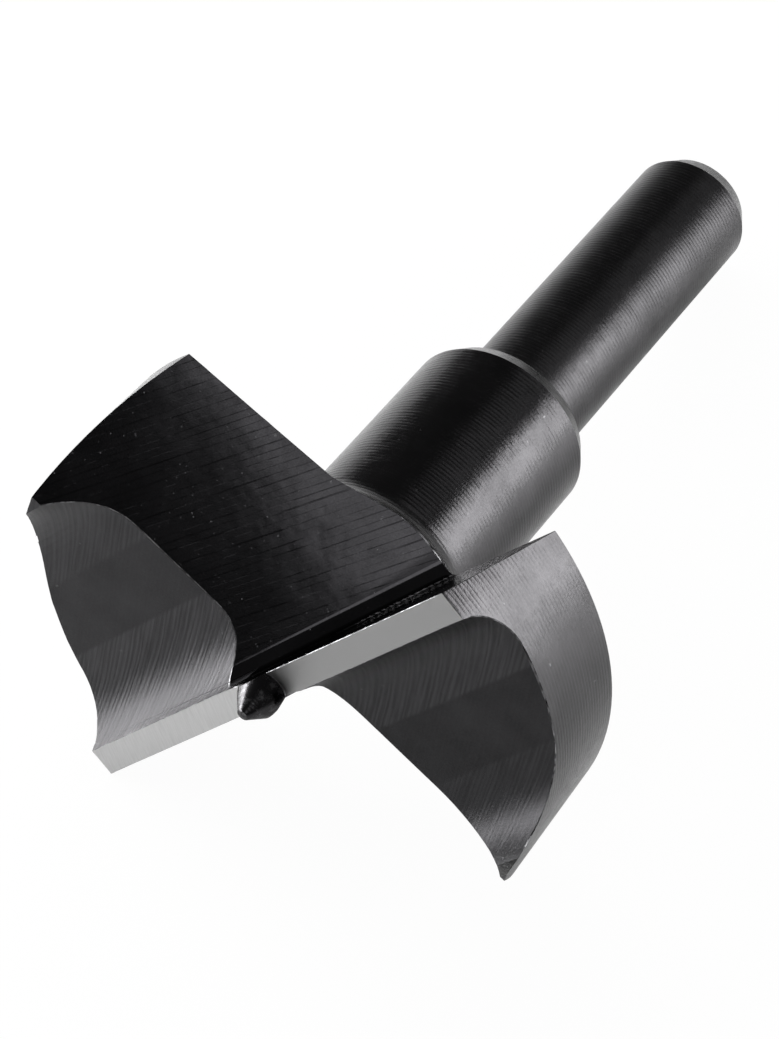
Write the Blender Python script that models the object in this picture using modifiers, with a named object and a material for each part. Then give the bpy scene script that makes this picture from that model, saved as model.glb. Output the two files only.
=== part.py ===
"""Two-wing wood boring bit with a centre point: one piece, turned and milled, lying as it comes to rest.

In the bit's own frame Z is its axis, with the tip up, Z = 0 is at the cutting edges, and X runs along them.
The two wings are half a turn apart and alike, except that the first wing's spur has worn away and the
second one's stands. An empty lays the finished bit on the floor. Lengths are in metres.
"""
import math

import bmesh
import bpy
from mathutils import Matrix, Vector

MM = 0.001

# Driving dimensions: the turned blank
HEAD_RADIUS = 17.5 * MM
HEAD_HEIGHT = 9.42 * MM
BACK_TAPER = math.radians(1.4)
HEAD_BACK_CONE = math.radians(2.6)
HUB_RADIUS = 6.0 * MM
HUB_HEIGHT = 27.3 * MM
HUB_FILLET = 2.6 * MM
HUB_CHAMFER_LENGTH = 1.1 * MM
HUB_CHAMFER_DEPTH = 0.6 * MM
SHANK_RADIUS = 4.0 * MM
SHANK_HEIGHT = 53.1 * MM
SHANK_CHAMFER_LENGTH = 1.35 * MM
SHANK_CHAMFER_DEPTH = 0.7 * MM

# Driving dimensions: the centre point, a short boss with a cone on it
POINT_HEIGHT = 2.35 * MM
POINT_TIP_RADIUS = 0.4 * MM
POINT_BOSS_RADIUS = 1.35 * MM
POINT_BOSS_HEIGHT = 0.8 * MM
POINT_CONE_BASE_RADIUS = 1.22 * MM
POINT_CONE_START = 1.15 * MM
POINT_ROOT_DEPTH = 0.9 * MM
POINT_TURN = math.radians(1.3)

# Driving dimensions: the cutting lands and the hollow behind them
LAND_LEAD = 0.9 * MM
LAND_TRAIL = 0.94 * MM
RELIEF_DEPTH = 2.7 * MM
RELIEF_RADIUS = 4.25 * MM
RELIEF_RUNOUT = 0.65 * MM
FACE_HALF_WIDTH = 12.0 * MM

# Driving dimensions: the scoring spur that each hollow leaves at the head's side
SPUR_HEIGHT = 2.25 * MM
SPUR_RISE_START = 10.65 * MM
WORN_SPUR_RADIUS = 5.0 * MM
WORN_SPUR_RISE_START = 11.5 * MM
WORN_SPUR_DROP = 0.55 * MM

# Driving dimensions: the gash between the wings
RAKE_SLOPE = 0.284
FLANK_OFFSET = 3.52 * MM
FLANK_SKEW = 0.2
FLANK_SLOPE = 0.967
GASH_FILLET = 1.1 * MM

# Finish and smoothness of the mesh
TURNED_STEPS = 144
POINT_STEPS = 64
ARC_STEPS = 10
SMOOTH_ANGLE = math.radians(25)
CUTTER_REACH = 40 * MM
WELD = 0.00001
STEEL_COLOUR = (0.045, 0.044, 0.046, 1.0)
STEEL_METALLIC = 0.85
STEEL_ROUGHNESS = 0.38


def clear_scene():
    """Remove whatever the file holds."""
    for thing in list(bpy.data.objects):
        bpy.data.objects.remove(thing, do_unlink=True)


def new_collection(name):
    """A collection linked to the scene."""
    collection = bpy.data.collections.new(name)
    bpy.context.scene.collection.children.link(collection)
    return collection


def black_steel():
    """Blackened tool steel."""
    material = bpy.data.materials.new("black_steel")
    material.use_nodes = True
    shader = material.node_tree.nodes["Principled BSDF"]
    shader.inputs["Base Color"].default_value = STEEL_COLOUR
    shader.inputs["Metallic"].default_value = STEEL_METALLIC
    shader.inputs["Roughness"].default_value = STEEL_ROUGHNESS
    return material


def arc(centre, radius, start, end, steps=ARC_STEPS):
    """Points of an arc in a plane, from one angle to the other, ends included."""
    points = []
    for i in range(steps + 1):
        angle = start + (end - start) * i / steps
        points.append((centre[0] + radius * math.cos(angle), centre[1] + radius * math.sin(angle)))
    return points


def head_back_radius():
    """Radius of the head where its side meets its back."""
    return HEAD_RADIUS - HEAD_HEIGHT * math.tan(BACK_TAPER)


def point_outline():
    """The centre point's turned outline, with a root that sinks into the head."""
    tip = [(0.0, POINT_HEIGHT), (POINT_TIP_RADIUS, POINT_HEIGHT)]
    cone = [(POINT_CONE_BASE_RADIUS, POINT_CONE_START)]
    boss = [(POINT_BOSS_RADIUS, POINT_BOSS_HEIGHT), (POINT_BOSS_RADIUS, -POINT_ROOT_DEPTH)]
    return tip + cone + boss + [(0.0, -POINT_ROOT_DEPTH)]


def blank_outline():
    """The turned outline as (radius, height) points from the head's front down to the shank's end."""
    back = head_back_radius()
    front = HEAD_RADIUS + SPUR_HEIGHT * math.tan(BACK_TAPER)
    side = [(0.0, SPUR_HEIGHT), (front, SPUR_HEIGHT), (back, -HEAD_HEIGHT)]
    slope = HEAD_BACK_CONE
    fillet_x = HUB_RADIUS + HUB_FILLET
    cone_end = fillet_x - HUB_FILLET * math.sin(slope)
    cone_depth = (back - cone_end) * math.tan(slope)
    fillet_y = -HEAD_HEIGHT - cone_depth - HUB_FILLET * math.cos(slope)
    fillet = arc((fillet_x, fillet_y), HUB_FILLET, math.pi / 2 + slope, math.pi)
    hub = [(HUB_RADIUS, -HUB_HEIGHT + HUB_CHAMFER_LENGTH), (HUB_RADIUS - HUB_CHAMFER_DEPTH, -HUB_HEIGHT)]
    shank = [(SHANK_RADIUS, -HUB_HEIGHT), (SHANK_RADIUS, -SHANK_HEIGHT + SHANK_CHAMFER_LENGTH)]
    end = [(SHANK_RADIUS - SHANK_CHAMFER_DEPTH, -SHANK_HEIGHT), (0.0, -SHANK_HEIGHT)]
    return side + fillet + hub + shank + end


def turned_object(name, outline, steps, collection):
    """A solid of revolution about Z from an outline that runs down its outer side."""
    mesh = bpy.data.meshes.new(name)
    points = [(x, 0.0, z) for x, z in outline]
    mesh.from_pydata(points, [(i, i + 1) for i in range(len(points) - 1)], [])
    thing = bpy.data.objects.new(name, mesh)
    collection.objects.link(thing)
    screw = thing.modifiers.new("turning", "SCREW")
    screw.axis = "Z"
    screw.steps = steps
    screw.render_steps = steps
    screw.use_merge_vertices = True
    screw.merge_threshold = WELD
    screw.use_smooth_shade = True
    return thing


def hide_as_tool(thing):
    """Mark an object as a cutter or a guide, which isn't part of the model."""
    thing.display_type = "WIRE"
    thing.hide_render = True


def prism(name, section, start, axis, across, up, length, collection):
    """A closed prism whose section, given along two directions, is swept from a point along an axis."""
    mesh = bpy.data.meshes.new(name)
    bm = bmesh.new()
    corners = [bm.verts.new(start + across * a + up * b) for a, b in section]
    face = bm.faces.new(corners)
    swept = bmesh.ops.extrude_face_region(bm, geom=[face])
    moved = [item for item in swept["geom"] if isinstance(item, bmesh.types.BMVert)]
    bmesh.ops.translate(bm, verts=moved, vec=axis * length)
    bmesh.ops.recalc_face_normals(bm, faces=bm.faces)
    bm.to_mesh(mesh)
    bm.free()
    thing = bpy.data.objects.new(name, mesh)
    hide_as_tool(thing)
    collection.objects.link(thing)
    return thing


def standing_spur():
    """The outer end of a hollow's section that leaves the whole spur, as (distance, height) points."""
    up = arc((SPUR_RISE_START, RELIEF_RADIUS - RELIEF_DEPTH), RELIEF_RADIUS, -math.pi / 2, 0.0)
    return up + [(up[-1][0], CUTTER_REACH)]


def worn_spur():
    """The outer end of a hollow's section that runs out over a spur worn below the cutting edges."""
    centre = (WORN_SPUR_RISE_START, WORN_SPUR_RADIUS - RELIEF_DEPTH)
    angle = math.asin((-WORN_SPUR_DROP - centre[1]) / WORN_SPUR_RADIUS)
    up = arc(centre, WORN_SPUR_RADIUS, -math.pi / 2, angle)
    return up + [(CUTTER_REACH, -WORN_SPUR_DROP), (CUTTER_REACH, CUTTER_REACH)]


def relief_section(outer_end):
    """What the relief cutter removes behind a land, as (distance behind the edge line, height) points."""
    rise = RELIEF_RADIUS - RELIEF_DEPTH
    floor_start = LAND_TRAIL + math.sqrt(RELIEF_RADIUS ** 2 - rise ** 2)
    entry = math.atan2(-rise, LAND_TRAIL - floor_start)
    down = arc((floor_start, rise), RELIEF_RADIUS, entry + 2 * math.pi, math.pi * 1.5)
    return down + outer_end + [(LAND_TRAIL, CUTTER_REACH)]


def gash_frame(turn):
    """The groove line of a gash and the directions that lie in its two walls, turned about the axis."""
    rake_normal = Vector((0.0, 1.0, -RAKE_SLOPE)).normalized()
    flank_normal = Vector((1.0, FLANK_SKEW, FLANK_SLOPE)).normalized()
    groove = rake_normal.cross(flank_normal).normalized()
    root = Vector((-FLANK_OFFSET - FLANK_SKEW * LAND_LEAD, LAND_LEAD, 0.0))
    vectors = [root, groove, rake_normal, flank_normal]
    return [turn @ vector for vector in vectors]


def gash_cutter(name, turn, collection):
    """The wedge between a rake face and the next wing's flank, with a rounded root."""
    root, groove, rake_normal, flank_normal = gash_frame(turn)
    along_rake = groove.cross(rake_normal).normalized()
    if along_rake.dot(flank_normal) < 0:
        along_rake = -along_rake
    up = rake_normal
    wall = groove.cross(flank_normal).normalized()
    if wall.dot(rake_normal) < 0:
        wall = -wall
    opening = math.acos(along_rake.dot(wall))
    reach = GASH_FILLET / math.tan(opening / 2)
    wall_angle = math.atan2(wall.dot(up), wall.dot(along_rake))
    centre = (reach, GASH_FILLET)
    root_arc = arc(centre, GASH_FILLET, -math.pi / 2, wall_angle - 1.5 * math.pi)
    far = CUTTER_REACH
    wall_end = (far * math.cos(wall_angle), far * math.sin(wall_angle))
    section = root_arc + [wall_end, (far, far), (far, 0.0)]
    return prism(name, section, root - groove * far, groove, along_rake, up, 2 * far, collection)


def face_cutter(name, collection):
    """The cutter that brings the head's middle down to the cutting edges."""
    half = FACE_HALF_WIDTH
    section = [(-half, 0.0), (half, 0.0), (half, CUTTER_REACH), (-half, CUTTER_REACH)]
    start = Vector((-CUTTER_REACH, 0.0, 0.0))
    axes = [Vector((1.0, 0.0, 0.0)), Vector((0.0, 1.0, 0.0)), Vector((0.0, 0.0, 1.0))]
    return prism(name, section, start, *axes, 2 * CUTTER_REACH, collection)


def relief_cutter(name, turn, outer_end, collection):
    """The cutter that hollows a wing behind its land, straight along the edge."""
    start = turn @ Vector((RELIEF_RUNOUT, 0.0, 0.0))
    axis = turn @ Vector((-1.0, 0.0, 0.0))
    across = turn @ Vector((0.0, 1.0, 0.0))
    up = Vector((0.0, 0.0, 1.0))
    return prism(name, relief_section(outer_end), start, axis, across, up, CUTTER_REACH, collection)


def combine(thing, other, operation):
    """Cut a second solid out of the first, or join it on, with an exact Boolean."""
    boolean = thing.modifiers.new(other.name, "BOOLEAN")
    boolean.operation = operation
    boolean.solver = "EXACT"
    boolean.object = other


def finished_mesh(thing):
    """The mesh of an object with its modifiers taken in, welded and shaded smooth between sharp edges."""
    evaluated = thing.evaluated_get(bpy.context.evaluated_depsgraph_get())
    mesh = bpy.data.meshes.new_from_object(evaluated)
    bm = bmesh.new()
    bm.from_mesh(mesh)
    bmesh.ops.remove_doubles(bm, verts=bm.verts, dist=WELD / 10)
    bmesh.ops.dissolve_degenerate(bm, edges=bm.edges, dist=WELD / 10)
    bm.to_mesh(mesh)
    bm.free()
    mesh.shade_smooth()
    mesh.set_sharp_from_angle(angle=SMOOTH_ANGLE)
    return mesh


def centre_of_gravity(mesh):
    """The solid's centre of gravity, summed over the tetrahedra between its triangles and the origin."""
    mesh.calc_loop_triangles()
    volume = 0.0
    moment = Vector((0.0, 0.0, 0.0))
    for triangle in mesh.loop_triangles:
        a, b, c = (mesh.vertices[i].co for i in triangle.vertices)
        share = a.dot(b.cross(c)) / 6
        volume += share
        moment += (a + b + c) * share / 4
    return moment / volume


def resting_face(mesh):
    """The hull face that the bit comes to rest on: the lowest one that holds its centre of gravity."""
    centre = centre_of_gravity(mesh)
    hull = bmesh.new()
    hull.from_mesh(mesh)
    made = bmesh.ops.convex_hull(hull, input=hull.verts, use_existing_faces=False)
    best = None
    for face in (item for item in made["geom"] if isinstance(item, bmesh.types.BMFace)):
        face.normal_update()
        corner = face.verts[0].co
        normal = face.normal if face.normal.dot(corner - centre) > 0 else -face.normal
        height = normal.dot(corner - centre)
        below = centre + normal * height
        on_landing_side = normal.y < 0
        if on_landing_side and holds(face, normal, below) and (best is None or height < best[0]):
            best = (height, normal.copy())
    hull.free()
    return best[1]


def holds(face, normal, point):
    """Whether a point of the face's plane lies inside the face."""
    corners = [vert.co for vert in face.verts]
    turns = []
    for i, corner in enumerate(corners):
        side = corners[(i + 1) % len(corners)] - corner
        turns.append(side.cross(point - corner).dot(normal))
    return min(turns) >= 0 or max(turns) <= 0


def lying_matrix(mesh):
    """The turn and place of the bit at rest, its shank towards +X and its box centred over the origin."""
    up = -resting_face(mesh)
    shank = Vector((0.0, 0.0, -1.0))
    forward = (shank - up * shank.dot(up)).normalized()
    turn = Matrix((forward, up.cross(forward), up))
    placed = [turn @ vertex.co for vertex in mesh.vertices]
    low = [min(point[i] for point in placed) for i in range(3)]
    high = [max(point[i] for point in placed) for i in range(3)]
    shift = Vector((-(low[0] + high[0]) / 2, -(low[1] + high[1]) / 2, -low[2]))
    return Matrix.Translation(shift) @ turn.to_4x4()


def build():
    """Make the bit, its cutters and the empty that lays it down."""
    clear_scene()
    parts = new_collection("wood_cutter_bit")
    cutters = new_collection("cutters")
    bit = turned_object("cutter_bit", blank_outline(), TURNED_STEPS, parts)
    turns = [Matrix.Identity(3), Matrix.Rotation(math.pi, 3, "Z")]
    combine(bit, face_cutter("face", cutters), "DIFFERENCE")
    combine(bit, relief_cutter("relief_1", turns[0], worn_spur(), cutters), "DIFFERENCE")
    combine(bit, relief_cutter("relief_2", turns[1], standing_spur(), cutters), "DIFFERENCE")
    point = turned_object("centre_point", point_outline(), POINT_STEPS, cutters)
    point.rotation_euler.z = POINT_TURN
    hide_as_tool(point)
    combine(bit, point, "UNION")
    for number, turn in enumerate(turns, start=1):
        combine(bit, gash_cutter("gash_%d" % number, turn, cutters), "DIFFERENCE")
    mesh = finished_mesh(bit)
    bit.modifiers.clear()
    bit.data = mesh
    mesh.materials.clear()
    mesh.materials.append(black_steel())
    rest = bpy.data.objects.new("resting_place", None)
    parts.objects.link(rest)
    rest.matrix_world = lying_matrix(mesh)
    bit.parent = rest


build()
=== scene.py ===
"""Looks of a two-wing wood boring bit: blackened steel with bright ground lands, lying on a pale table."""
import math

import bmesh
import bpy
from bpy.props import FloatProperty, FloatVectorProperty, IntProperty, PointerProperty
from mathutils import Matrix, Vector, noise


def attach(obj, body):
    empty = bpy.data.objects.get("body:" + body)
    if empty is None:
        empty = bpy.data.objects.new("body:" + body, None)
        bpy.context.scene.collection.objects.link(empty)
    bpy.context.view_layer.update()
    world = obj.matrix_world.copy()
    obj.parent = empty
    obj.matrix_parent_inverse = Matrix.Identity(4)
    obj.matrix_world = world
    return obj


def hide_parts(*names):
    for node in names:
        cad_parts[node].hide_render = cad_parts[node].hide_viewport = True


bl_info = {
    "name": "Wood cutter bit",
    "version": (1, 0, 0),
    "blender": (4, 5, 0),
    "location": "View3D > Sidebar > Cutter bit",
    "description": "Dresses the turned and milled body of a wood cutter bit and sets it on a pale table",
    "category": "Object",
}

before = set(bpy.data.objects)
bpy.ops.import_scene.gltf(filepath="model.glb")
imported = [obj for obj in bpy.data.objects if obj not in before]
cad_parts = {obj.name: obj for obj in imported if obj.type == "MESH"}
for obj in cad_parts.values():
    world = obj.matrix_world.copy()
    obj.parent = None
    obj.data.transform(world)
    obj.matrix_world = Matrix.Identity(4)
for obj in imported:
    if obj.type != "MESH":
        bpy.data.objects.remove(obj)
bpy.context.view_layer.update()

MM = 0.001

# Place of the bit's own frame, in which Z is its axis with the tip up and X runs along the cutting edges
BIT_PLACE = Matrix((
    (0.15176672, 0.12115446, -0.98096305, -0.0249844),
    (-0.6238817, 0.781519, 0.0, 0.000011),
    (0.7666412, 0.612005, 0.19419456, 0.0139727),
    (0.0, 0.0, 0.0, 1.0),
))

# Slopes of the planes that bound the wings, in the bit's own frame
RAKE_NORMAL = Vector((0.0, 1.0, -0.284)).normalized()
FLANK_NORMAL = Vector((1.0, 0.2, 0.967)).normalized()
GROOVE = RAKE_NORMAL.cross(FLANK_NORMAL).normalized()

# How near to one a dot product of two directions has to be for them to count as one
SAME_WAY = 0.9998

# How small a part of a direction has to be to count as none
NO_LEAN = 0.004

POINT_RADIUS = 1.4 * MM
LAND_PLAY = 0.01 * MM
HOLLOW_BOTTOM = -4 * MM
ROOT_BOTTOM = -14 * MM
SLIVER_WIDTH = 0.02 * MM

# Distance from the edges down to the shoulder between hub and shank, in millimetres
HUB_TOP = 27.3

# Radii in millimetres around the hub's foot, where the oxide is darkened as painted shade
COLLAR_RISE = (6.05, 6.5)
COLLAR_FALL = (8.4, 9.6)

# Distances from the middle plane in millimetres, over which the hollow's streaks fade out and in again
STREAKS_FADE = (5.8, 6.1)
STREAKS_RETURN = (10.3, 10.7)

# Direction across the hollow's streaks, and their pitch in millimetres
STREAK_X, STREAK_Y = 0.55, 0.83
STREAK_PITCH = 0.3

# Heights in millimetres over which the inside of a standing spur is lightened and dulled more and more, a
# painted highlight
SPUR_SHEEN = (-0.2, 2.1)

# Slopes of the levels that the score lines follow on the flanks
SCORE_LEVEL = (0.1336, 0.9337, -0.3313)

# How far the lines of the lands lean along the edge
LAND_LINE_LEAN = -0.43

# Roughness of the centre point, pitch of its rings, and radii of its dimple and rim in millimetres
POINT_ROUGHNESS = 0.24
POINT_RING_PITCH = 0.16
DIMPLE = (0.06, 0.22)
RIM = (0.24, 0.3)

TABLE_ROUGHNESS = 0.17
SEEN_GLOW = 0.97
MIRRORED_GLOW = 0.1

# Middle of the hollow's round beside the land, as distance and height, and its radius
HOLLOW_ROUND = (4.905 * MM, 1.57 * MM, 4.27 * MM)

TURNED, HOLLOW, FLANK, RAKE, ROOT, LAND, POINT, WORN = range(8)


class BitSteelProperties(bpy.types.PropertyGroup):
    """Finish of the steel."""

    oxide_colour: FloatVectorProperty(
        name="Oxide colour", description="Colour of the blackened steel", subtype="COLOR",
        size=3, min=0.0, max=1.0, default=(0.046, 0.045, 0.047))
    hollow_colour: FloatVectorProperty(
        name="Hollow colour", description="Colour of the blackened steel in the hollows", subtype="COLOR",
        size=3, min=0.0, max=1.0, default=(0.0275, 0.027, 0.0285))
    gash_colour: FloatVectorProperty(
        name="Gash colour", description="Colour of the darker walls of the gashes", subtype="COLOR",
        size=3, min=0.0, max=1.0, default=(0.044, 0.043, 0.046))
    land_colour: FloatVectorProperty(
        name="Land colour", description="Colour of the ground lands", subtype="COLOR",
        size=3, min=0.0, max=1.0, default=(0.58, 0.58, 0.58))
    # Painted shade: how bright the second wing's land is painted beside the first one's
    second_land_shade_share: FloatProperty(
        name="Second land", description="Brightness of the second wing's land beside the first one's",
        subtype="FACTOR", min=0.0, max=1.0, default=0.56)
    worn_colour: FloatVectorProperty(
        name="Worn edge colour", description="Colour of the bare steel on worn edges", subtype="COLOR",
        size=3, min=0.0, max=1.0, default=(0.3, 0.3, 0.31))
    oxide_roughness: FloatProperty(
        name="Oxide roughness", description="Roughness of the blackened steel",
        subtype="FACTOR", min=0.0, max=1.0, default=0.22)
    hollow_roughness: FloatProperty(
        name="Hollow roughness", description="Roughness of the blackened steel in the hollows",
        subtype="FACTOR", min=0.0, max=1.0, default=0.42)
    gash_roughness: FloatProperty(
        name="Gash roughness", description="Roughness of the smooth walls of the gashes",
        subtype="FACTOR", min=0.0, max=1.0, default=0.08)
    land_roughness: FloatProperty(
        name="Land roughness", description="Roughness of the ground lands",
        subtype="FACTOR", min=0.0, max=1.0, default=0.42)
    ring_pitch: FloatProperty(
        name="Ring pitch", description="Distance between the turned rings",
        subtype="DISTANCE", unit="LENGTH", min=0.0001, max=0.002, default=0.0003)
    score_spacing: FloatProperty(
        name="Score spacing", description="Distance between the dark score lines on the walls of the gashes",
        subtype="DISTANCE", unit="LENGTH", min=0.0001, max=0.002, default=0.00045)
    ring_depth: FloatProperty(
        name="Ring depth", description="Depth of the turned rings",
        subtype="DISTANCE", unit="LENGTH", min=0.0, max=0.0001, default=0.0000078)
    streak_depth: FloatProperty(
        name="Streak depth", description="Depth of the milling streaks in the hollows",
        subtype="DISTANCE", unit="LENGTH", min=0.0, max=0.0001, default=0.000006)


class BitEdgeProperties(bpy.types.PropertyGroup):
    """Wear of the edges."""

    break_width: FloatProperty(
        name="Edge break", description="Width of the broken edges where they are least worn",
        subtype="DISTANCE", unit="LENGTH", min=0.0, max=0.0005, default=0.00003)
    chip_width: FloatProperty(
        name="Chip width", description="Width of the broken edges where they are most worn",
        subtype="DISTANCE", unit="LENGTH", min=0.00001, max=0.0005, default=0.0002)
    chip_share: FloatProperty(
        name="Chipping", description="How much the outer edges are chipped",
        subtype="FACTOR", min=0.0, max=2.0, default=0.7)
    edge_spacing: FloatProperty(
        name="Edge spacing", description="Distance between the points along an edge",
        subtype="DISTANCE", unit="LENGTH", min=0.0001, max=0.005, default=0.0004)
    seed: IntProperty(name="Seed", description="Seed of the random wear", min=0, default=7)


class BitStageProperties(bpy.types.PropertyGroup):
    """Table, lights and camera."""

    table_colour: FloatVectorProperty(
        name="Table colour", description="Colour of the table", subtype="COLOR",
        size=3, min=0.0, max=1.0, default=(0.9, 0.9, 0.9))
    camera_place: FloatVectorProperty(
        name="Camera place", description="Where the camera stands", subtype="TRANSLATION",
        unit="LENGTH", size=3, default=(-0.11254031, -0.06650147, 0.18531679))
    camera_turn: FloatVectorProperty(
        name="Camera turn", description="How the camera is turned", subtype="EULER",
        unit="ROTATION", size=3,
        default=(math.radians(35.2518935), math.radians(1.3034291), math.radians(-58.4902479)))
    focal_length: FloatProperty(
        name="Focal length", description="Focal length on a 36 mm sensor", min=1.0, default=123.77)
    sky_level: FloatProperty(
        name="Room level", description="Brightness of the room above the table", min=0.0, default=0.08)
    horizon_level: FloatProperty(
        name="Backdrop level", description="Brightness of the backdrop near the table", min=0.0, default=1.0)


def bit_space(tree):
    """Object coordinates turned into the bit's own frame, in millimetres."""
    nodes, links = tree.nodes, tree.links
    source = nodes.new("ShaderNodeTexCoord")
    turn = nodes.new("ShaderNodeMapping")
    back = BIT_PLACE.inverted()
    turn.inputs["Scale"].default_value = (1 / MM, 1 / MM, 1 / MM)
    turn.inputs["Rotation"].default_value = back.to_euler()
    turn.inputs["Location"].default_value = back.translation / MM
    links.new(source.outputs["Object"], turn.inputs["Vector"])
    return turn.outputs["Vector"]


def maths(tree, operation, first, second=0.0, third=None, clamp=False):
    """A math node whose inputs are sockets or numbers."""
    node = tree.nodes.new("ShaderNodeMath")
    node.operation = operation
    node.use_clamp = clamp
    for place, value in enumerate((first, second, third)):
        if isinstance(value, bpy.types.NodeSocket):
            tree.links.new(value, node.inputs[place])
        elif value is not None:
            node.inputs[place].default_value = value
    return node.outputs[0]


def vector_of(tree, x, y, z):
    """A vector put together from three sockets or numbers."""
    node = tree.nodes.new("ShaderNodeCombineXYZ")
    for place, value in enumerate((x, y, z)):
        if isinstance(value, bpy.types.NodeSocket):
            tree.links.new(value, node.inputs[place])
        else:
            node.inputs[place].default_value = value
    return node.outputs[0]


def noise_of(tree, vector, scale, detail=2.0, roughness=0.5):
    """A noise texture's value, from 0 to 1."""
    node = tree.nodes.new("ShaderNodeTexNoise")
    node.inputs["Scale"].default_value = scale
    node.inputs["Detail"].default_value = detail
    node.inputs["Roughness"].default_value = roughness
    tree.links.new(vector, node.inputs["Vector"])
    return node.outputs["Fac"]


def spread(tree, value, low, high, to_low, to_high, smooth=False):
    """A value mapped from one range to another, held at the ends."""
    node = tree.nodes.new("ShaderNodeMapRange")
    node.interpolation_type = "SMOOTHSTEP" if smooth else "LINEAR"
    tree.links.new(value, node.inputs["Value"])
    node.inputs["From Min"].default_value = low
    node.inputs["From Max"].default_value = high
    node.inputs["To Min"].default_value = to_low
    node.inputs["To Max"].default_value = to_high
    return node.outputs["Result"]


def blend_colours(tree, factor, first, second):
    """Two colours mixed by a factor."""
    node = tree.nodes.new("ShaderNodeMix")
    node.data_type = "RGBA"
    tree.links.new(factor, node.inputs["Factor"])
    for name, value in (("A", first), ("B", second)):
        socket = [item for item in node.inputs if item.name == name and item.type == "RGBA"][0]
        if isinstance(value, bpy.types.NodeSocket):
            tree.links.new(value, socket)
        else:
            socket.default_value = (*value, 1.0)
    return [item for item in node.outputs if item.type == "RGBA"][0]


def raise_surface(tree, height, depth, normal=None):
    """A bump from a height of about -1 to 1 and a depth in metres."""
    node = tree.nodes.new("ShaderNodeBump")
    node.inputs["Strength"].default_value = 1.0
    node.inputs["Distance"].default_value = depth
    tree.links.new(height, node.inputs["Height"])
    if normal is not None:
        tree.links.new(normal, node.inputs["Normal"])
    return node.outputs["Normal"]


def new_steel(name, colour, roughness):
    """A steel material and its tree, shader and bit-frame coordinates, before any pattern is added."""
    material = bpy.data.materials.new(name)
    material.use_nodes = True
    tree = material.node_tree
    shader = tree.nodes["Principled BSDF"]
    shader.inputs["Base Color"].default_value = (*colour, 1.0)
    shader.inputs["Metallic"].default_value = 1.0
    shader.inputs["Roughness"].default_value = roughness
    vector = bit_space(tree)
    parts = tree.nodes.new("ShaderNodeSeparateXYZ")
    tree.links.new(vector, parts.inputs[0])
    return material, tree, shader, vector, parts.outputs


def radius_of(tree, axes):
    """Distance from the bit's axis."""
    squares = maths(tree, "MULTIPLY_ADD", axes["X"], axes["X"], maths(tree, "MULTIPLY", axes["Y"], axes["Y"]))
    return maths(tree, "SQRT", squares)


def oxide_patches(tree, vector, colour, spread_by=0.25):
    """The blackened steel's colour, slightly uneven, with a fine grain."""
    broad = noise_of(tree, vector, 0.35, 3.0)
    fine = noise_of(tree, vector, 9.0, 2.0)
    both = maths(tree, "MULTIPLY_ADD", fine, 0.4, maths(tree, "MULTIPLY", broad, 0.6))
    low = tuple(channel * (1 - spread_by) for channel in colour)
    high = tuple(channel * (1 + spread_by) for channel in colour)
    return blend_colours(tree, spread(tree, both, 0.3, 0.7, 0.0, 1.0), low, high)


def flecks(tree, vector, stretch, scale, size, share):
    """A mask of scattered ragged marks, each inside one cell of a grid of random points."""
    stretched = tree.nodes.new("ShaderNodeMapping")
    stretched.inputs["Scale"].default_value = stretch
    tree.links.new(vector, stretched.inputs["Vector"])
    cells = tree.nodes.new("ShaderNodeTexVoronoi")
    cells.inputs["Scale"].default_value = scale
    tree.links.new(stretched.outputs["Vector"], cells.inputs["Vector"])
    chance = tree.nodes.new("ShaderNodeSeparateColor")
    tree.links.new(cells.outputs["Color"], chance.inputs[0])
    rough_edge = noise_of(tree, vector, 7.0, 2.0, 0.7)
    ragged = maths(tree, "MULTIPLY_ADD", rough_edge, size * 3, cells.outputs["Distance"])
    near = spread(tree, ragged, size * 1.6, size * 2.3, 1.0, 0.0)
    chosen = maths(tree, "LESS_THAN", chance.outputs[0], share)
    return maths(tree, "MULTIPLY", near, maths(tree, "MULTIPLY", chosen, chance.outputs[1]))


def add_marks(tree, shader, colour, marks, settings, roughness):
    """Bare dull marks on a blackened surface, in its colour and its roughness."""
    marked = blend_colours(tree, marks, colour, tuple(settings.worn_colour))
    duller = maths(tree, "MULTIPLY_ADD", marks, 0.45, roughness, clamp=True)
    tree.links.new(marked, shader.inputs["Base Color"])
    tree.links.new(duller, shader.inputs["Roughness"])


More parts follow.
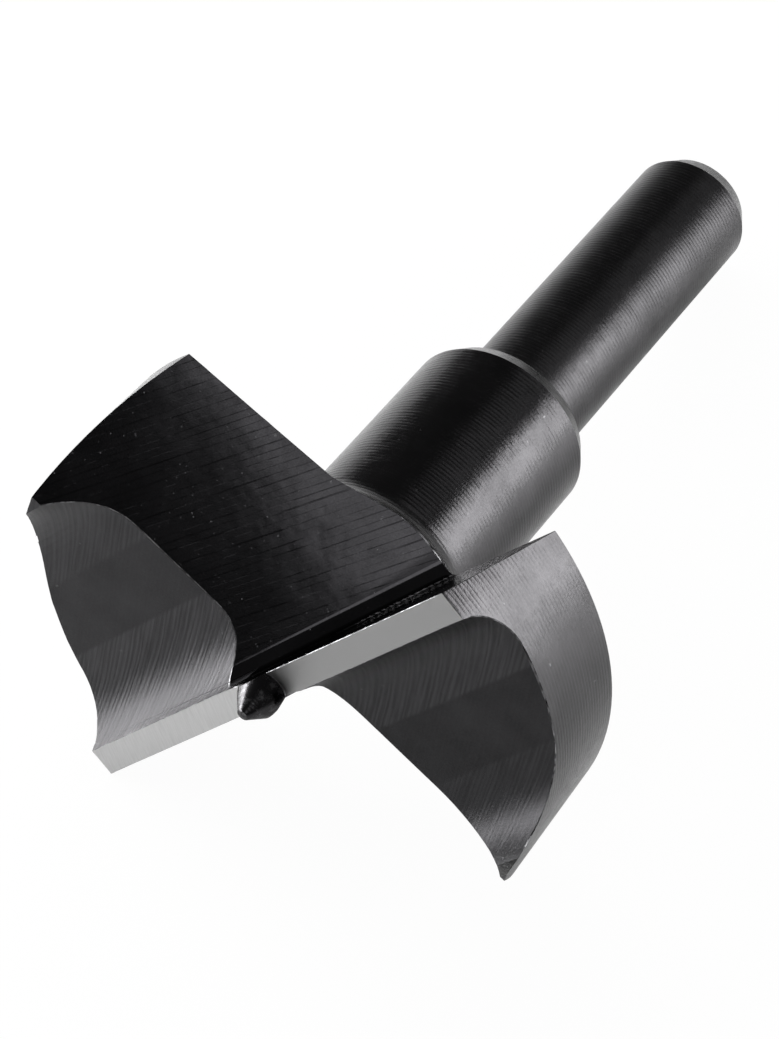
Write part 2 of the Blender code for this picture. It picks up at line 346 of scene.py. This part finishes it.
def turned_steel(settings):
    """Blackened steel with the rings that turning leaves, a few scratches and rubbed specks, and painted shade
    darkening it around the hub's foot.
    """
    material, tree, shader, vector, axes = new_steel(
        "turned_steel", settings.oxide_colour, settings.oxide_roughness)
    height = axes["Z"]
    wander = maths(tree, "MULTIPLY", noise_of(tree, vector, 0.8, 2.0), 0.1)
    turns = maths(tree, "DIVIDE", maths(tree, "ADD", height, wander), settings.ring_pitch / MM)
    wave = maths(tree, "ABSOLUTE", maths(tree, "SINE", maths(tree, "MULTIPLY", turns, math.pi)))
    uneven = noise_of(tree, vector_of(tree, 0.0, 0.0, height), 2.2, 3.0, 0.7)
    patchy = noise_of(tree, vector, 1.3, 4.0, 0.65)
    strength = spread(tree, uneven, 0.3, 0.7, 0.4, 1.4)
    strength = maths(tree, "MULTIPLY", strength, spread(tree, patchy, 0.35, 0.62, 0.3, 1.3))
    normal = raise_surface(tree, maths(tree, "MULTIPLY", wave, strength), settings.ring_depth)
    pressed = vector_of(tree, axes["X"], axes["Y"], maths(tree, "MULTIPLY", height, 9.0))
    drag = noise_of(tree, pressed, 1.4, 4.0, 0.75)
    normal = raise_surface(tree, drag, settings.ring_depth * 0.45, normal)
    grain = noise_of(tree, vector, 11.0, 3.0, 0.7)
    normal = raise_surface(tree, grain, settings.ring_depth * 0.5, normal)
    tree.links.new(normal, shader.inputs["Normal"])
    specks = flecks(tree, vector, (1.0, 1.0, 1.0), 1.5, 0.19, 0.1)
    scratches = flecks(tree, vector, (0.5, 1.6, 0.4), 1.0, 0.12, 0.1)
    marks = maths(tree, "MULTIPLY", maths(tree, "MAXIMUM", specks, scratches), 0.55)
    rubbed = spread(tree, height, -HUB_TOP - 0.5, -HUB_TOP + 0.5, 0.09, 0.0)
    smoothest = settings.oxide_roughness - 0.03
    roughest = settings.oxide_roughness + 0.05
    rubbed = maths(tree, "ADD", rubbed, spread(tree, patchy, 0.3, 0.7, smoothest, roughest))
    mottled = oxide_patches(tree, vector, settings.oxide_colour)
    radius = radius_of(tree, axes)
    # Painted shade: in a ring around the hub's foot the oxide is darkened towards 0.4 of its colour.
    collar_shade = spread(tree, radius, *COLLAR_RISE, 0.0, 1.0)
    collar_shade = maths(tree, "MULTIPLY", collar_shade, spread(tree, radius, *COLLAR_FALL, 1.0, 0.0))
    painted_shade_colour = tuple(channel * 0.4 for channel in settings.oxide_colour)
    mottled = blend_colours(tree, maths(tree, "MULTIPLY", collar_shade, 0.8), mottled, painted_shade_colour)
    add_marks(tree, shader, mottled, marks, settings, rubbed)
    return material


def hollow_steel(settings):
    """Blackened steel with the slanting streaks of the hollow's milling, strongest on its curved parts, with a
    painted highlight that lightens those streaks and the inside of a standing spur towards its top.
    """
    material, tree, shader, vector, axes = new_steel(
        "hollow_steel", settings.hollow_colour, settings.hollow_roughness)
    across = maths(tree, "MULTIPLY", axes["Y"], STREAK_Y)
    across = maths(tree, "SUBTRACT", across, maths(tree, "MULTIPLY", axes["X"], STREAK_X))
    along = maths(tree, "MULTIPLY", axes["X"], STREAK_Y)
    along = maths(tree, "ADD", along, maths(tree, "MULTIPLY", axes["Y"], STREAK_X))
    stretched = vector_of(tree, across, maths(tree, "MULTIPLY", along, 0.06), 0.0)
    drift = maths(tree, "MULTIPLY", noise_of(tree, stretched, 1.3, 2.0, 0.6), 14.0)
    cuts = maths(tree, "SINE", maths(tree, "MULTIPLY_ADD", across, 2 * math.pi / STREAK_PITCH, drift))
    streaks = maths(tree, "MULTIPLY_ADD", cuts, 0.12, noise_of(tree, stretched, 3.4, 3.0, 0.65))
    behind = maths(tree, "ABSOLUTE", axes["Y"])
    near_land = spread(tree, behind, *STREAKS_FADE, 1.0, 0.1, True)
    near_spur = spread(tree, behind, *STREAKS_RETURN, 0.1, 0.6, True)
    strength = maths(tree, "MAXIMUM", near_land, near_spur)
    normal = raise_surface(tree, maths(tree, "MULTIPLY", streaks, strength), settings.streak_depth * 4)
    grain = noise_of(tree, vector, 9.0, 3.0, 0.7)
    normal = raise_surface(tree, grain, settings.ring_depth * 0.9, normal)
    tree.links.new(normal, shader.inputs["Normal"])
    specks = flecks(tree, vector, (1.0, 1.0, 1.0), 1.3, 0.18, 0.09)
    # Painted highlight: the milling streaks near the land and near the spur get nearly twice the hollow's
    # colour.
    swept = tuple(channel * 1.95 for channel in settings.hollow_colour)
    plain = oxide_patches(tree, vector, settings.hollow_colour, 0.3)
    lined = spread(tree, streaks, 0.35, 0.7, 0.25, 1.0)
    colour = blend_colours(tree, maths(tree, "MULTIPLY", lined, strength), plain, swept)
    # Painted highlight: with height the spur's inside is blended more and more towards the bare steel colour,
    # and made duller.
    rubbed = spread(tree, axes["Z"], *SPUR_SHEEN, 0.0, 0.42, True)
    rubbed = maths(tree, "MULTIPLY", rubbed, spread(tree, grain, 0.35, 0.6, 0.6, 1.0))
    marks = maths(tree, "MULTIPLY_ADD", specks, 0.3, rubbed)
    add_marks(tree, shader, colour, marks, settings, settings.hollow_roughness)
    return material


def gash_steel(name, settings, scored):
    """Blackened steel of the gash walls, with dark score lines on the wide sloping walls."""
    material, tree, shader, vector, axes = new_steel(name, settings.gash_colour, settings.gash_roughness)
    grain = noise_of(tree, vector, 8.0, 3.0, 0.6)
    normal = raise_surface(tree, grain, settings.ring_depth * 0.035)
    broad = noise_of(tree, vector, 0.5, 2.0)
    normal = raise_surface(tree, broad, settings.ring_depth * 0.6, normal)
    colour = oxide_patches(tree, vector, settings.gash_colour, 0.35)
    if scored:
        level = maths(tree, "MULTIPLY", axes["Y"], SCORE_LEVEL[1])
        level = maths(tree, "MULTIPLY_ADD", axes["X"], SCORE_LEVEL[0], level)
        level = maths(tree, "MULTIPLY_ADD", axes["Z"], SCORE_LEVEL[2], maths(tree, "ABSOLUTE", level))
        drawn = vector_of(tree, maths(tree, "MULTIPLY", axes["X"], 0.12), level, 0.0)
        wander = maths(tree, "MULTIPLY", noise_of(tree, drawn, 0.6, 2.0), 0.3)
        place = maths(tree, "DIVIDE", maths(tree, "ADD", level, wander), settings.score_spacing / MM)
        across = maths(tree, "ABSOLUTE", maths(tree, "SUBTRACT", maths(tree, "FRACT", place), 0.5))
        uneven = noise_of(tree, vector_of(tree, 0.0, level, 0.0), 1.9, 1.0)
        scores = maths(tree, "LESS_THAN", across, spread(tree, uneven, 0.4, 0.62, 0.02, 0.1))
        broken = spread(tree, noise_of(tree, drawn, 3.0, 3.0, 0.7), 0.38, 0.6, 0.1, 1.0)
        scores = maths(tree, "MULTIPLY", scores, broken)
        normal = raise_surface(tree, maths(tree, "MULTIPLY", scores, -1.0), settings.ring_depth * 0.2, normal)
        dark = tuple(channel * 0.45 for channel in settings.gash_colour)
        colour = blend_colours(tree, scores, colour, dark)
    tree.links.new(normal, shader.inputs["Normal"])
    specks = flecks(tree, vector, (1.0, 1.0, 1.0), 2.0, 0.2, 0.1)
    dust = flecks(tree, vector, (1.0, 1.0, 1.0), 5.0, 0.3, 0.08)
    rubbed = flecks(tree, vector, (2.2, 0.8, 1.0), 1.0, 0.14, 0.1)
    marks = maths(tree, "MAXIMUM", maths(tree, "MAXIMUM", specks, dust), rubbed)
    marks = maths(tree, "MULTIPLY", marks, 0.5)
    add_marks(tree, shader, colour, marks, settings, settings.gash_roughness)
    return material


def point_steel(settings):
    """Polished dark steel of the centre point, with fine turned rings and a dimple in its tip."""
    material, tree, shader, vector, axes = new_steel("point_steel", settings.oxide_colour, POINT_ROUGHNESS)
    radius = radius_of(tree, axes)
    rings = maths(tree, "SINE", maths(tree, "MULTIPLY", axes["Z"], 2 * math.pi / POINT_RING_PITCH))
    normal = raise_surface(tree, rings, settings.ring_depth * 0.1)
    dimple = spread(tree, radius, *DIMPLE, -1.0, 0.0, True)
    rim = spread(tree, radius, *RIM, 0.0, -0.35, True)
    normal = raise_surface(tree, maths(tree, "ADD", dimple, rim), 0.00007, normal)
    grain = noise_of(tree, vector, 9.0, 3.0, 0.7)
    normal = raise_surface(tree, grain, settings.ring_depth * 0.5, normal)
    tree.links.new(normal, shader.inputs["Normal"])
    smears = noise_of(tree, vector, 1.8, 4.0, 0.7)
    marks = spread(tree, smears, 0.5, 0.62, 0.0, 0.22)
    colour = oxide_patches(tree, vector, settings.oxide_colour)
    add_marks(tree, shader, colour, marks, settings, POINT_ROUGHNESS)
    return material


def ground_steel(settings):
    """Bright ground steel of the lands, with fine lines across them, and painted shade darkening the second
    wing's land.
    """
    material, tree, shader, _, axes = new_steel("ground_steel", settings.land_colour, settings.land_roughness)
    across = maths(tree, "MULTIPLY_ADD", axes["Y"], LAND_LINE_LEAN, axes["X"])
    stretched = vector_of(tree, across, maths(tree, "MULTIPLY", axes["Y"], 0.08), 0.0)
    lines = noise_of(tree, stretched, 6.0, 4.0, 0.75)
    normal = raise_surface(tree, lines, 0.000004)
    tree.links.new(normal, shader.inputs["Normal"])
    dull = tuple(channel * 0.86 for channel in settings.land_colour)
    bright = blend_colours(tree, spread(tree, lines, 0.3, 0.6, 0.0, 1.0), dull, settings.land_colour)
    # Painted shade: the land on the positive X side is given a darker colour.
    shaded_land_colour = tuple(channel * settings.second_land_shade_share for channel in settings.land_colour)
    second = spread(tree, axes["X"], -0.6, 0.6, 0.0, 1.0)
    colour = blend_colours(tree, second, bright, shaded_land_colour)
    tree.links.new(colour, shader.inputs["Base Color"])
    return material


def worn_steel(settings):
    """Bare steel where the edges are rubbed."""
    material, tree, shader, vector, _ = new_steel("worn_steel", settings.worn_colour, 0.4)
    patches = noise_of(tree, vector, 1.6, 3.0, 0.6)
    rubbed = spread(tree, patches, 0.44, 0.62, 0.12, 1.0)
    colour = blend_colours(tree, rubbed, settings.oxide_colour, settings.worn_colour)
    tree.links.new(colour, shader.inputs["Base Color"])
    return material


def steels(settings):
    """The bit's materials, in the order of the face kinds."""
    return [
        turned_steel(settings),
        hollow_steel(settings),
        gash_steel("flank_steel", settings, True),
        gash_steel("rake_steel", settings, False),
        gash_steel("root_steel", settings, False),
        ground_steel(settings),
        point_steel(settings),
        worn_steel(settings),
    ]


def face_kind(face):
    """Which cut made a face of the bit, told from its direction and place in the bit's own frame."""
    normal, centre = face.normal, face.calc_center_median()
    half_turned = Vector((-normal.x, -normal.y, normal.z))
    radius = math.hypot(centre.x, centre.y)
    if radius < 2 * POINT_RADIUS and centre.z > LAND_PLAY:
        return POINT
    if radius < POINT_RADIUS and centre.z > -LAND_PLAY and abs(normal.z) < 0.99:
        return POINT
    if normal.z > 0.9999 and abs(centre.z) < LAND_PLAY:
        return LAND
    for direction in (normal, half_turned):
        if abs(direction.dot(RAKE_NORMAL)) > SAME_WAY:
            return RAKE
        if abs(direction.dot(FLANK_NORMAL)) > SAME_WAY:
            return FLANK
        outward = (direction.x * centre.x + direction.y * centre.y) / max(radius, MM)
        in_groove = abs(direction.dot(GROOVE)) < NO_LEAN < abs(direction.x)
        if in_groove and abs(direction.z) > 0.02 and abs(outward) < 0.9 and centre.z > ROOT_BOTTOM:
            return ROOT
    if abs(normal.x) < 0.03 and normal.z > 0.1 and centre.z > HOLLOW_BOTTOM:
        return HOLLOW
    return TURNED


def steel_body():
    """The CAD bit's shape as one welded mesh in its own frame, with its faces sorted by kind."""
    bm = bmesh.new()
    bm.from_mesh(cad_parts["cutter_bit"].data)
    bmesh.ops.transform(bm, matrix=BIT_PLACE.inverted(), verts=bm.verts)
    bmesh.ops.remove_doubles(bm, verts=bm.verts, dist=0.002 * MM)
    bm.normal_update()
    for face in bm.faces:
        face.material_index = face_kind(face)
    for face in bm.faces:
        longest = max(face.edges, key=lambda edge: edge.calc_length())
        if 2 * face.calc_area() / longest.calc_length() > SLIVER_WIDTH:
            continue
        for near in longest.link_faces:
            if near is not face:
                face.material_index = near.material_index
    flat_kinds = ({FLANK}, {RAKE}, {LAND})
    inner = [edge for edge in bm.edges if {face.material_index for face in edge.link_faces} in flat_kinds]
    bmesh.ops.dissolve_limit(bm, angle_limit=math.radians(0.15), verts=[], edges=inner, delimit={"MATERIAL"})
    return bm


def wear_edges(bm, edges):
    """Cut the edges between differently cut faces into short lengths and give each a bevel weight."""
    by_cuts = {}
    for edge in bm.edges:
        cuts = int(edge.calc_length() / edges.edge_spacing)
        if cuts > 2 and borders_two_cuts(edge):
            by_cuts.setdefault(cuts, []).append(edge)
    for cuts, group in sorted(by_cuts.items()):
        bmesh.ops.subdivide_edges(bm, edges=group, cuts=cuts)
    weight = bm.edges.layers.float.new("bevel_weight_edge")
    offset = Vector((edges.seed * 3.7, 0.0, 0.0))
    borders = {edge for edge in bm.edges if borders_two_cuts(edge)}
    shares = {
        frozenset((TURNED, HOLLOW)): edges.chip_share,
        frozenset((TURNED, FLANK)): edges.chip_share * 0.5,
        frozenset((LAND, HOLLOW)): 0.02,
    }
    for edge in sorted(borders, key=lambda item: item.index):
        middle = (edge.verts[0].co + edge.verts[1].co) / 2 / MM
        chips = max(noise.noise(middle * 0.9 + offset), 0.0) + max(noise.noise(middle * 2.3 + offset), 0.0)
        kinds = frozenset(face.material_index for face in edge.link_faces)
        at_corner = any(sum(near in borders for near in corner.link_edges) > 2 for corner in edge.verts)
        outer_flank = kinds == {TURNED, FLANK} and math.hypot(middle.x, middle.y) > 16.0
        if at_corner or outer_flank or middle.z > 0.3 or edge.calc_length() < 0.05 * MM:
            continue
        edge[weight] = min(edges.break_width / edges.chip_width + shares.get(kinds, 0.12) * chips, 1.0)


def worn_mesh(piece, edges):
    """The piece's mesh with its weighted edges bevelled into uneven worn strips."""
    bevel = piece.modifiers.new("wear", "BEVEL")
    bevel.limit_method = "WEIGHT"
    bevel.offset_type = "OFFSET"
    bevel.width = edges.chip_width
    bevel.segments = 1
    bevel.use_clamp_overlap = False
    bevel.material = WORN
    mesh = bpy.data.meshes.new_from_object(piece.evaluated_get(bpy.context.evaluated_depsgraph_get()))
    piece.modifiers.clear()
    return mesh


def borders_two_cuts(edge):
    """Whether an edge lies between faces of different kinds that meet at a clear angle."""
    if len(edge.link_faces) != 2:
        return False
    first, second = edge.link_faces
    return first.material_index != second.material_index and edge.calc_face_angle(0.0) > math.radians(20)


def shade(mesh):
    """Smooth shading, broken where faces of different kinds meet or turn sharply."""
    mesh.shade_smooth()
    bm = bmesh.new()
    bm.from_mesh(mesh)
    for edge in bm.edges:
        kinds = {face.material_index for face in edge.link_faces}
        limit = 45 if kinds == {POINT} else 25
        edge.smooth = len(kinds) == 1 and edge.calc_face_angle(0.0) < math.radians(limit)
    bm.to_mesh(mesh)
    bm.free()
    set_normals(mesh)


def set_normals(mesh):
    """Give each corner the mean normal of its surface, and make the turned and the swept faces truly round."""
    around = {}
    for polygon in mesh.polygons:
        for vertex in polygon.vertices:
            around.setdefault((vertex, polygon.material_index), []).append((polygon.area, polygon.normal))
    normals = [Vector((0.0, 0.0, 1.0))] * len(mesh.loops)
    for polygon in mesh.polygons:
        kind = polygon.material_index
        limit = math.cos(math.radians(45 if kind == POINT else 25))
        for corner in polygon.loop_indices:
            vertex = mesh.loops[corner].vertex_index
            faces = around[(vertex, kind)]
            main = polygon.normal
            if polygon.area < 0.02 * MM * MM:
                main = max(faces, key=lambda item: item[0])[1]
            total = sum((normal * area for area, normal in faces if normal.dot(main) > limit), main * 1e-12)
            normals[corner] = total.normalized()
            if kind == TURNED:
                normals[corner] = rounded(mesh.vertices[vertex].co, normals[corner])
            elif kind == HOLLOW:
                normals[corner] = swept(mesh.vertices[vertex].co, normals[corner])
            elif kind == WORN:
                normals[corner] = polygon.normal.copy()
    mesh.normals_split_custom_set(normals)


def swept(place, normal):
    """A normal of the hollow beside the land, turned to the middle of its round as on a truly round sweep."""
    point = BIT_PLACE.inverted() @ place
    across = HOLLOW_ROUND[0] - abs(point.y)
    up = HOLLOW_ROUND[1] - point.z
    if across < 0.0 or abs(math.hypot(across, up) - HOLLOW_ROUND[2]) > 0.1 * MM:
        return normal
    side = 1 if point.x < 0 else -1
    return BIT_PLACE.to_3x3() @ Vector((0.0, side * across, up)).normalized()


def rounded(place, normal):
    """A normal turned about the bit's axis to point straight away from it, as on a true round."""
    point = BIT_PLACE.inverted() @ place
    radial = Vector((point.x, point.y, 0.0))
    if radial.length < 0.5 * MM:
        return normal
    radial.normalize()
    own = BIT_PLACE.to_3x3().inverted() @ normal
    outward = math.hypot(own.x, own.y) * (1 if own.dot(radial) > 0 else -1)
    return BIT_PLACE.to_3x3() @ (radial * outward + Vector((0.0, 0.0, own.z)))


class BIT_OT_steel_bit(bpy.types.Operator):
    """Make the bit with its finishes and worn edges"""

    bl_idname = "cutter_bit.steel_bit"
    bl_label = "Steel bit"

    def execute(self, context):
        steel, edges = context.scene.bit_steel, context.scene.bit_edges
        bm = steel_body()
        wear_edges(bm, edges)
        bmesh.ops.transform(bm, matrix=BIT_PLACE, verts=bm.verts)
        mesh = bpy.data.meshes.new("bit_steel_body")
        bm.to_mesh(mesh)
        bm.free()
        for material in steels(steel):
            mesh.materials.append(material)
        piece = bpy.data.objects.new("bit_steel_body", mesh)
        context.scene.collection.objects.link(piece)
        piece.data = worn_mesh(piece, edges)
        bpy.data.meshes.remove(mesh)
        piece.data.name = "bit_steel_body"
        shade(piece.data)
        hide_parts("cutter_bit")
        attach(piece, "root")
        return {"FINISHED"}


def room(settings):
    """A dim room above a pale backdrop near the table."""
    world = bpy.data.worlds.new("room")
    bpy.context.scene.world = world
    world.use_nodes = True
    tree = world.node_tree
    background = tree.nodes["Background"]
    source = tree.nodes.new("ShaderNodeTexCoord")
    parts = tree.nodes.new("ShaderNodeSeparateXYZ")
    tree.links.new(source.outputs["Generated"], parts.inputs[0])
    level = spread(tree, parts.outputs["Z"], math.sin(math.radians(-1)), math.sin(math.radians(2)),
                   settings.horizon_level, settings.sky_level, True)
    tree.links.new(vector_of(tree, level, level, level), background.inputs["Color"])


def soft_lamp(name, azimuth, elevation, distance, width, height, level, roll=0.0):
    """A rectangular soft lamp that faces the bit, with the brightness of its face."""
    data = bpy.data.lights.new(name, "AREA")
    data.shape = "RECTANGLE"
    data.size = width
    data.size_y = height
    data.energy = level * math.pi * width * height
    lamp = bpy.data.objects.new(name, data)
    bpy.context.scene.collection.objects.link(lamp)
    direction = Vector((math.cos(azimuth) * math.cos(elevation), math.sin(azimuth) * math.cos(elevation),
                        math.sin(elevation)))
    lamp.location = direction * distance
    facing = direction.to_track_quat("Z", "Y").to_matrix()
    lamp.rotation_euler = (facing @ Matrix.Rotation(roll, 3, "Z")).to_euler()
    lamp.visible_camera = False
    return lamp


def table_material(settings):
    """A pale table that looks evenly lit, with a faint shadow of the bit."""
    material = bpy.data.materials.new("table")
    material.use_nodes = True
    tree = material.node_tree
    shader = tree.nodes["Principled BSDF"]
    shader.inputs["Base Color"].default_value = (*settings.table_colour, 1.0)
    shader.inputs["Roughness"].default_value = TABLE_ROUGHNESS
    output = tree.nodes["Material Output"]
    glow = tree.nodes.new("ShaderNodeEmission")
    glow.inputs["Strength"].default_value = 1.0
    path = tree.nodes.new("ShaderNodeLightPath")
    mirrored = maths(tree, "MAXIMUM", path.outputs["Is Glossy Ray"], path.outputs["Is Transmission Ray"])
    share = maths(tree, "MULTIPLY", path.outputs["Is Camera Ray"], SEEN_GLOW)
    share = maths(tree, "MULTIPLY_ADD", mirrored, MIRRORED_GLOW, share)
    mix = tree.nodes.new("ShaderNodeMixShader")
    tree.links.new(share, mix.inputs[0])
    tree.links.new(shader.outputs[0], mix.inputs[1])
    tree.links.new(glow.outputs[0], mix.inputs[2])
    tree.links.new(mix.outputs[0], output.inputs["Surface"])
    return material


class BIT_OT_stage(bpy.types.Operator):
    """Make the table, the lights and the camera"""

    bl_idname = "cutter_bit.stage"
    bl_label = "Stage"

    def execute(self, context):
        settings = context.scene.bit_stage
        bm = bmesh.new()
        bmesh.ops.create_grid(bm, x_segments=1, y_segments=1, size=4.0)
        mesh = bpy.data.meshes.new("table")
        bm.to_mesh(mesh)
        bm.free()
        mesh.materials.append(table_material(settings))
        table = bpy.data.objects.new("table", mesh)
        context.scene.collection.objects.link(table)
        room(settings)
        soft_lamp("left_lamp", math.radians(97), math.radians(14.5), 0.2, 0.2, 0.095, 15.0)
        soft_lamp("right_lamp", math.radians(-53), math.radians(14.5), 0.145, 0.095, 0.07, 7.8)
        soft_lamp("back_lamp", math.radians(-14), math.radians(31), 0.5, 0.25, 0.12, 0.5)
        soft_lamp(
            "front_lamp", math.radians(-145.4), math.radians(48.8), 2.0, 0.433, 1.0, 1.5, math.radians(33))
        top = soft_lamp("top_lamp", math.radians(50), math.radians(40), 0.8, 0.8, 0.8, 3.4)
        top.visible_glossy = False
        data = bpy.data.cameras.new("camera")
        data.sensor_width = 36.0
        data.sensor_fit = "AUTO"
        data.lens = settings.focal_length
        data.clip_start = 0.005
        camera = bpy.data.objects.new("camera", data)
        camera.location = settings.camera_place
        camera.rotation_euler = settings.camera_turn
        context.scene.collection.objects.link(camera)
        context.scene.camera = camera
        context.scene.view_settings.view_transform = "Standard"
        return {"FINISHED"}


class BIT_PT_panel(bpy.types.Panel):
    """Lists the bit's settings and makers in the 3D view's sidebar"""

    bl_label = "Cutter bit"
    bl_idname = "BIT_PT_panel"
    bl_space_type = "VIEW_3D"
    bl_region_type = "UI"
    bl_category = "Cutter bit"

    def draw(self, context):
        for operator, name in ((BIT_OT_steel_bit, "bit_steel"), (BIT_OT_stage, "bit_stage")):
            box = self.layout.box()
            box.operator(operator.bl_idname)
            settings = getattr(context.scene, name)
            for key in settings.__annotations__:
                box.prop(settings, key)
        box = self.layout.box()
        for key in context.scene.bit_edges.__annotations__:
            box.prop(context.scene.bit_edges, key)


CLASSES = (
    BitSteelProperties, BitEdgeProperties, BitStageProperties, BIT_OT_steel_bit, BIT_OT_stage, BIT_PT_panel)


def register():
    """Register the classes and their settings."""
    for item in CLASSES:
        bpy.utils.register_class(item)
    bpy.types.Scene.bit_steel = PointerProperty(type=BitSteelProperties)
    bpy.types.Scene.bit_edges = PointerProperty(type=BitEdgeProperties)
    bpy.types.Scene.bit_stage = PointerProperty(type=BitStageProperties)


def unregister():
    """Remove the settings and the classes."""
    del bpy.types.Scene.bit_stage
    del bpy.types.Scene.bit_edges
    del bpy.types.Scene.bit_steel
    for item in reversed(CLASSES):
        bpy.utils.unregister_class(item)


def main():
    """Make the bit and its stage."""
    register()
    bpy.ops.cutter_bit.steel_bit()
    bpy.ops.cutter_bit.stage()
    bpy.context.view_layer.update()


if __name__ == "__main__":
    main()
